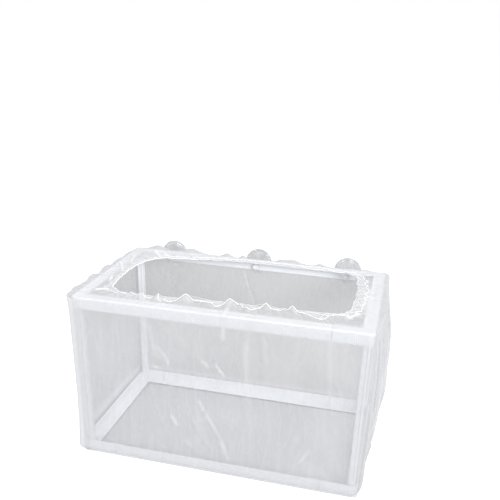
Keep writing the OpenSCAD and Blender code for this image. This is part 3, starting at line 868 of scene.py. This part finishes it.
def wall_rows(s, rise):
    """Points from the floor seam up to the ring's upper edge, with their bunching."""
    xy, normal = (v.to_3d() for v in outline(s))
    points, bunch = [], []
    for row in range(WALL_ROWS):
        z = FLOOR_Z + (wall_top - FLOOR_Z) * row / (WALL_ROWS - 1)
        tuck = 1 - smooth(z, FLOOR_Z, slack(s)[3])
        lift = smooth(z, wall_top - PUFF_DEPTH, wall_top) * rise
        off, bunched_and_painted_light = stand_off(s, z)
        points.append(xy + normal * (off * (1 - tuck) + SEAM_OUT * tuck + PUFF_OUT * lift)
                      + Vector((0, 0, z + PUFF_UP * lift)))
        # painted light at the seam: the lowest rows are drawn whiter over the shade of the tuck, on top
        # of its folded edges
        bunch.append(bunched_and_painted_light + SEAM_BUNCH_AND_PAINTED_LIGHT * (1 - smooth(z, 1.0, 3.5)))
    return points, bunch


# %% One column of the bag
EDGE_ROWS, COLLAR_ROWS, HEM_ROWS = 5, 14, 8


def bag_column(s):
    """Points from the floor seam up, over the ring and in to the mouth's lip, with their bunching."""
    xy, normal = (v.to_3d() for v in outline(s))
    rise = puff(s)
    points, bunch = wall_rows(s, rise)
    out = (points[-1] - xy).dot(normal)
    for row in range(1, EDGE_ROWS + 1):
        a = math.pi / 2 * row / EDGE_ROWS
        side = (out + EDGE_R) * math.cos(a) - EDGE_R
        puffed = rise * (PUFF_UP + (1 - PUFF_UP) * math.sin(a))
        top = wall_top + (EDGE_R + NET_GAP) * math.sin(a) + puffed
        points.append(xy + normal * side + Vector((0, 0, top)))
    bunch += [collar_bunch(s, 0)] * EDGE_ROWS
    lip, seam = mouth_lines(s)[:2]
    start = points[-1].copy()
    start.z = COLLAR_Z
    points[-1].z = max(points[-1].z, COLLAR_Z)
    for row in range(1, COLLAR_ROWS + 1):
        t = row / COLLAR_ROWS
        p = collar_point(s, start, seam, t, rise)
        bunch.append(collar_bunch(s, t))
        for from_xy, to_xy, height, width, bunched_and_painted_light in COLLAR_CREASES:
            mark = crease(p.xy, from_xy, to_xy, width)
            p.z += height * mark
            bunch[-1] += bunched_and_painted_light * mark
        points.append(p)
    for row in range(1, HEM_ROWS + 1):
        points.append(seam.lerp(lip, row / HEM_ROWS))
        bunch.append(collar_bunch(s, 1 + row / COLLAR_ROWS))
    return points, bunch


print("a column of the bag has", len(bag_column(0)[0]), "points")


# %% Meshes from points in millimetres
def new_piece(name, points, faces, material, cloth_map=None, bunch=None):
    """A mesh object; cloth_map gives each point its place on the flat cloth."""
    mesh = bpy.data.meshes.new(name)
    mesh.from_pydata([p * MM for p in points], [], faces)
    mesh.validate()
    if cloth_map:
        layer = mesh.uv_layers.new(name="cloth")
        for loop in mesh.loops:
            u, v = cloth_map[loop.vertex_index]
            layer.data[loop.index].uv = (u * MM, v * MM)
    if bunch:
        mesh.attributes.new("bunch", "FLOAT", "POINT").data.foreach_set("value", bunch)
    mesh.polygons.foreach_set("use_smooth", [True] * len(mesh.polygons))
    mesh.materials.append(material)
    piece = bpy.data.objects.new(name, mesh)
    scene.collection.objects.link(piece)
    return piece


def loft(name, columns, places, material):
    """A skin through columns of (points, bunching); places gives each column's place along the cloth."""
    rows = len(columns[0][0])
    points = [p for column, bunched_and_painted_light in columns for p in column]
    bunch = [b for column, bunched_and_painted_light in columns for b in bunched_and_painted_light]
    cloth_map = []
    for s, (column, bunched_and_painted_light) in zip(places, columns):
        climb = 0.0
        for i, p in enumerate(column):
            climb += (p - column[i - 1]).length if i else 0
            cloth_map.append((s, climb))
    faces = [(c * rows + r, (c + 1) * rows + r, (c + 1) * rows + r + 1, c * rows + r + 1)
             for c in range(len(columns) - 1) for r in range(rows - 1)]
    return new_piece(name, points, faces, material, cloth_map, bunch)


# %% The bag
COLUMN_STEP = 1.4  # mm between columns, fine enough for the narrowest crease
count = round(perimeter / COLUMN_STEP)
places = [perimeter * i / count for i in range(count + 1)]
bag = loft("net_bag", [bag_column(s) for s in places], places, net)
print("bag:", len(bag.data.vertices), "points")

# %% [markdown]
# ## The floor panel
# A flat piece of the same net is sewn to the walls. It lies on the table under the bottom ring, so it
# has only a few low creases: one long one runs across it from the back left to the front.

# %% Creases and height of the floor
# (start, end, height, half width, bunching) of each crease, in millimetres; the bunching also
# draws a crease whiter, partly its doubled threads and partly a painted highlight along it
FLOOR_CREASES = [
    ((-54, 42), (-39, 20), 1.4, 1.6, 0.5), ((-39, 20), (-8, -25), 1.8, 1.6, 0.45),
    ((-8, -25), (10, -59), 2.2, 1.7, 0.7), ((-73, 5), (-57, -14), 1.2, 1.8, 0.5),
    ((82, -14), (74, -40), 1.6, 1.6, 0.6), ((-42, -34), (-31, -45), 0.9, 1.8, 0.25),
    ((66, 4), (63, -24), 0.8, 2.2, 0.15), ((-84, -27), (-70, -29), 0.8, 1.8, 0.15),
]
FLOOR_LIFT = 0.15   # mm over the table
SWELL = 0.55        # mm; height of the soft waves
SWELL_SIZE = 26     # mm; their width


def floor_height(x, y):
    """Height of the floor panel at x, y and how much its threads bunch there, with painted light added
    towards the front and the right end.
    """
    p = Vector((x, y))
    depth = min(half_x - abs(x), half_y - abs(y))
    free = smooth(depth, flange - 3, flange + 8)  # the ring holds the panel's border down
    cell = Vector((x / SWELL_SIZE, y / SWELL_SIZE, 4.2))
    swell = 0.5 + 0.5 * noise.noise(cell) + 0.25 * noise.noise(cell * 2.7)
    rise, bunched_and_painted_light = 0.0, 0.0
    for start, end, height, width, bunch in FLOOR_CREASES:
        mark = crease(p, start, end, width)
        rise += height * mark
        bunched_and_painted_light = max(bunched_and_painted_light, bunch * mark ** 1.5)
    # painted light: the threads are drawn a little denser and whiter all over, and more so towards the
    # front and the right end, to lift the shade that the ring and the walls throw on the panel there
    bunched_and_painted_light += 0.06 + 0.32 * smooth(x, 30, 125) + 0.20 * smooth(-y, 0, 65)
    return FLOOR_LIFT + free * (SWELL * max(0.0, swell) + rise), bunched_and_painted_light


# %% Floor panel
FLOOR_STEP = 1.5  # mm between the points of its grid
reach_x, reach_y = half_x + SEAM_OUT, half_y + SEAM_OUT
cells_x, cells_y = round(2 * reach_x / FLOOR_STEP), round(2 * reach_y / FLOOR_STEP)
grid, bunch, cloth_map = [], [], []
for i in range(cells_x + 1):
    for j in range(cells_y + 1):
        x = reach_x * (2 * i / cells_x - 1)
        y = reach_y * (2 * j / cells_y - 1)
        # the grid's square corners are drawn in to the ring's round ones
        over = Vector((max(0, abs(x) - corner_x), max(0, abs(y) - corner_y)))
        if over.x > 0 and over.y > 0:
            over *= max(over.x, over.y) / over.length
            x = math.copysign(corner_x + over.x, x)
            y = math.copysign(corner_y + over.y, y)
        z, bunched_and_painted_light = floor_height(x, y)
        grid.append(Vector((x, y, z)))
        bunch.append(bunched_and_painted_light)
        cloth_map.append((x + half_x, y + half_y))
stride = cells_y + 1
faces = [(i * stride + j, (i + 1) * stride + j, (i + 1) * stride + j + 1, i * stride + j + 1)
         for i in range(cells_x) for j in range(cells_y)]
floor_net = new_piece("net_floor_panel", grid, faces, floor_cloth, cloth_map, bunch)
print("floor panel:", len(grid), "points")

# %% [markdown]
# ## The hem
# The bag's edge is folded back on itself round the elastic and overlocked down, so the last
# centimetre is two layers of net. The hem is a second skin just above the first one, which rolls over
# the elastic at the lip.

# %% The folded hem
ELASTIC_R = 0.34              # mm; radius of the covered elastic at rest
ROLL_R = 0.9 * ELASTIC_R      # the cord shows through the cloth that is stretched over it
LAYER_GAP = 0.45              # mm from the first layer of the hem up to the second
CORD_LIFT = 0.2               # mm from the lip up to the middle of the cord
FLAT_ROWS, ROLL_ROWS = 6, 7


def hem_column(s):
    """The folded-over layer from the stitch line to the lip, and round the elastic."""
    lip, seam, inward = mouth_lines(s)
    inward = inward.to_3d()
    points = [seam.lerp(lip, t / FLAT_ROWS) + Vector((0, 0, LAYER_GAP)) for t in range(FLAT_ROWS)]
    for step in range(ROLL_ROWS):
        a = math.radians(90 - 180 * step / (ROLL_ROWS - 1))
        up = Vector((0, 0, ROLL_R * math.sin(a) + CORD_LIFT))
        points.append(lip + inward * ROLL_R * math.cos(a) + up)
    bunch = [0.10 * peaks(s, 5, 24)] * FLAT_ROWS + [0.9 * hem_shape(s)[4]] * ROLL_ROWS
    return points, bunch


hem = loft("mouth_hem", [hem_column(s) for s in places], places, hem_net)
print("hem:", len(hem.data.vertices), "points")


# %% Round cords, and the elastic
def closed_tube(points, radii, sides):
    """Points and faces of a round cord along a closed line, with a radius for each point."""
    n = len(points)
    ring, faces = [], []
    for i, p in enumerate(points):
        along = (points[(i + 1) % n] - points[i - 1]).normalized()
        side = along.cross(Vector((0, 0, 1))).normalized()
        up = side.cross(along)
        for k in range(sides):
            a = 2 * math.pi * k / sides
            ring.append(p + radii[i] * (side * math.cos(a) + up * math.sin(a)))
    for i in range(n):
        j = (i + 1) % n
        for k in range(sides):
            m = (k + 1) % sides
            faces.append((i * sides + k, j * sides + k, j * sides + m, i * sides + m))
    return ring, faces


# where the lip shows boldly the elastic is loose and thick, elsewhere it is stretched thin
lips = [mouth_lines(s)[0] + Vector((0, 0, CORD_LIFT)) for s in places[:-1]]
radii = [ELASTIC_R * (0.4 + 0.8 * hem_shape(s)[4]) for s in places[:-1]]
elastic = new_piece("mouth_elastic_cord", *closed_tube(lips, radii, 8), elastic_yarn)
print("elastic:", round(2 * min(radii), 2), "to", round(2 * max(radii), 2), "mm thick")

# %% Overlock stitches
# A chain runs along the stitch line. Two loopers cross the hem from it to the lip and back, half a
# stitch apart, so that they make a row of crosses. No two stitches are quite the same length.
STITCH_PITCH = 15.0             # mm; a stitch is drawn longer than the real 4 mm, so that it shows
CHAIN_R, LOOPER_R = 0.27, 0.22  # mm
CHAIN_STEPS = 8                 # points of the chain to a stitch
CHAIN_LIFT = 0.5                # mm over the stitch line
LOOPER_LIFT = (0.6, 0.8)        # mm; the second looper passes over the first
stitches = 2 * round(perimeter / STITCH_PITCH / 2)


def looper(first):
    """Points and radii of one thread that goes out to the lip and back to the stitch line."""
    points, radii = [], []
    for i in range(stitches):
        s = perimeter * (i + 0.7 * noise.noise(Vector((i * 0.7, 3.1, first)))) / stitches
        lip, seam = mouth_lines(s)[:2]
        across = 0.5 + 0.5 * noise.noise(Vector((i * 0.9, 8.4, first)))
        # every other turn is near the lip, and the ones between are at the stitch line
        t = (0.72 + 0.26 * across) if (i + first) % 2 else (0.02 - 0.10 * across)
        points.append(seam.lerp(lip, t) + Vector((0, 0, LOOPER_LIFT[first])))
        radii.append(LOOPER_R * (0.25 + 0.75 * max(0.0, hem_shape(s)[2])))
    return points, radii


chain_count = CHAIN_STEPS * stitches
chain_places = [perimeter * i / chain_count for i in range(chain_count)]
chain = [mouth_lines(s)[1] + Vector((0, 0, CHAIN_LIFT)) for s in chain_places]
points, faces = closed_tube(chain, [CHAIN_R * max(0.1, hem_shape(s)[3]) for s in chain_places], 6)
for first in (0, 1):
    more_points, more_faces = closed_tube(*looper(first), 5)
    faces += [tuple(v + len(points) for v in face) for face in more_faces]
    points += more_points
stitching = new_piece("hem_stitching", points, faces, overlock_yarn)
print(stitches, "overlock stitches")

# %% [markdown]
# ## Telling the frame about the pieces
# Every piece rides on the frame's body. The bag and its floor stand in for the plain solids that the
# physics uses.

# %% Riding and replacing
for piece in (bag, floor_net, hem, elastic, stitching):
    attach(piece, "frame")
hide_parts("net_front", "net_back", "net_left", "net_right", "net_collar")
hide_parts("net_floor")
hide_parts("mouth_elastic")
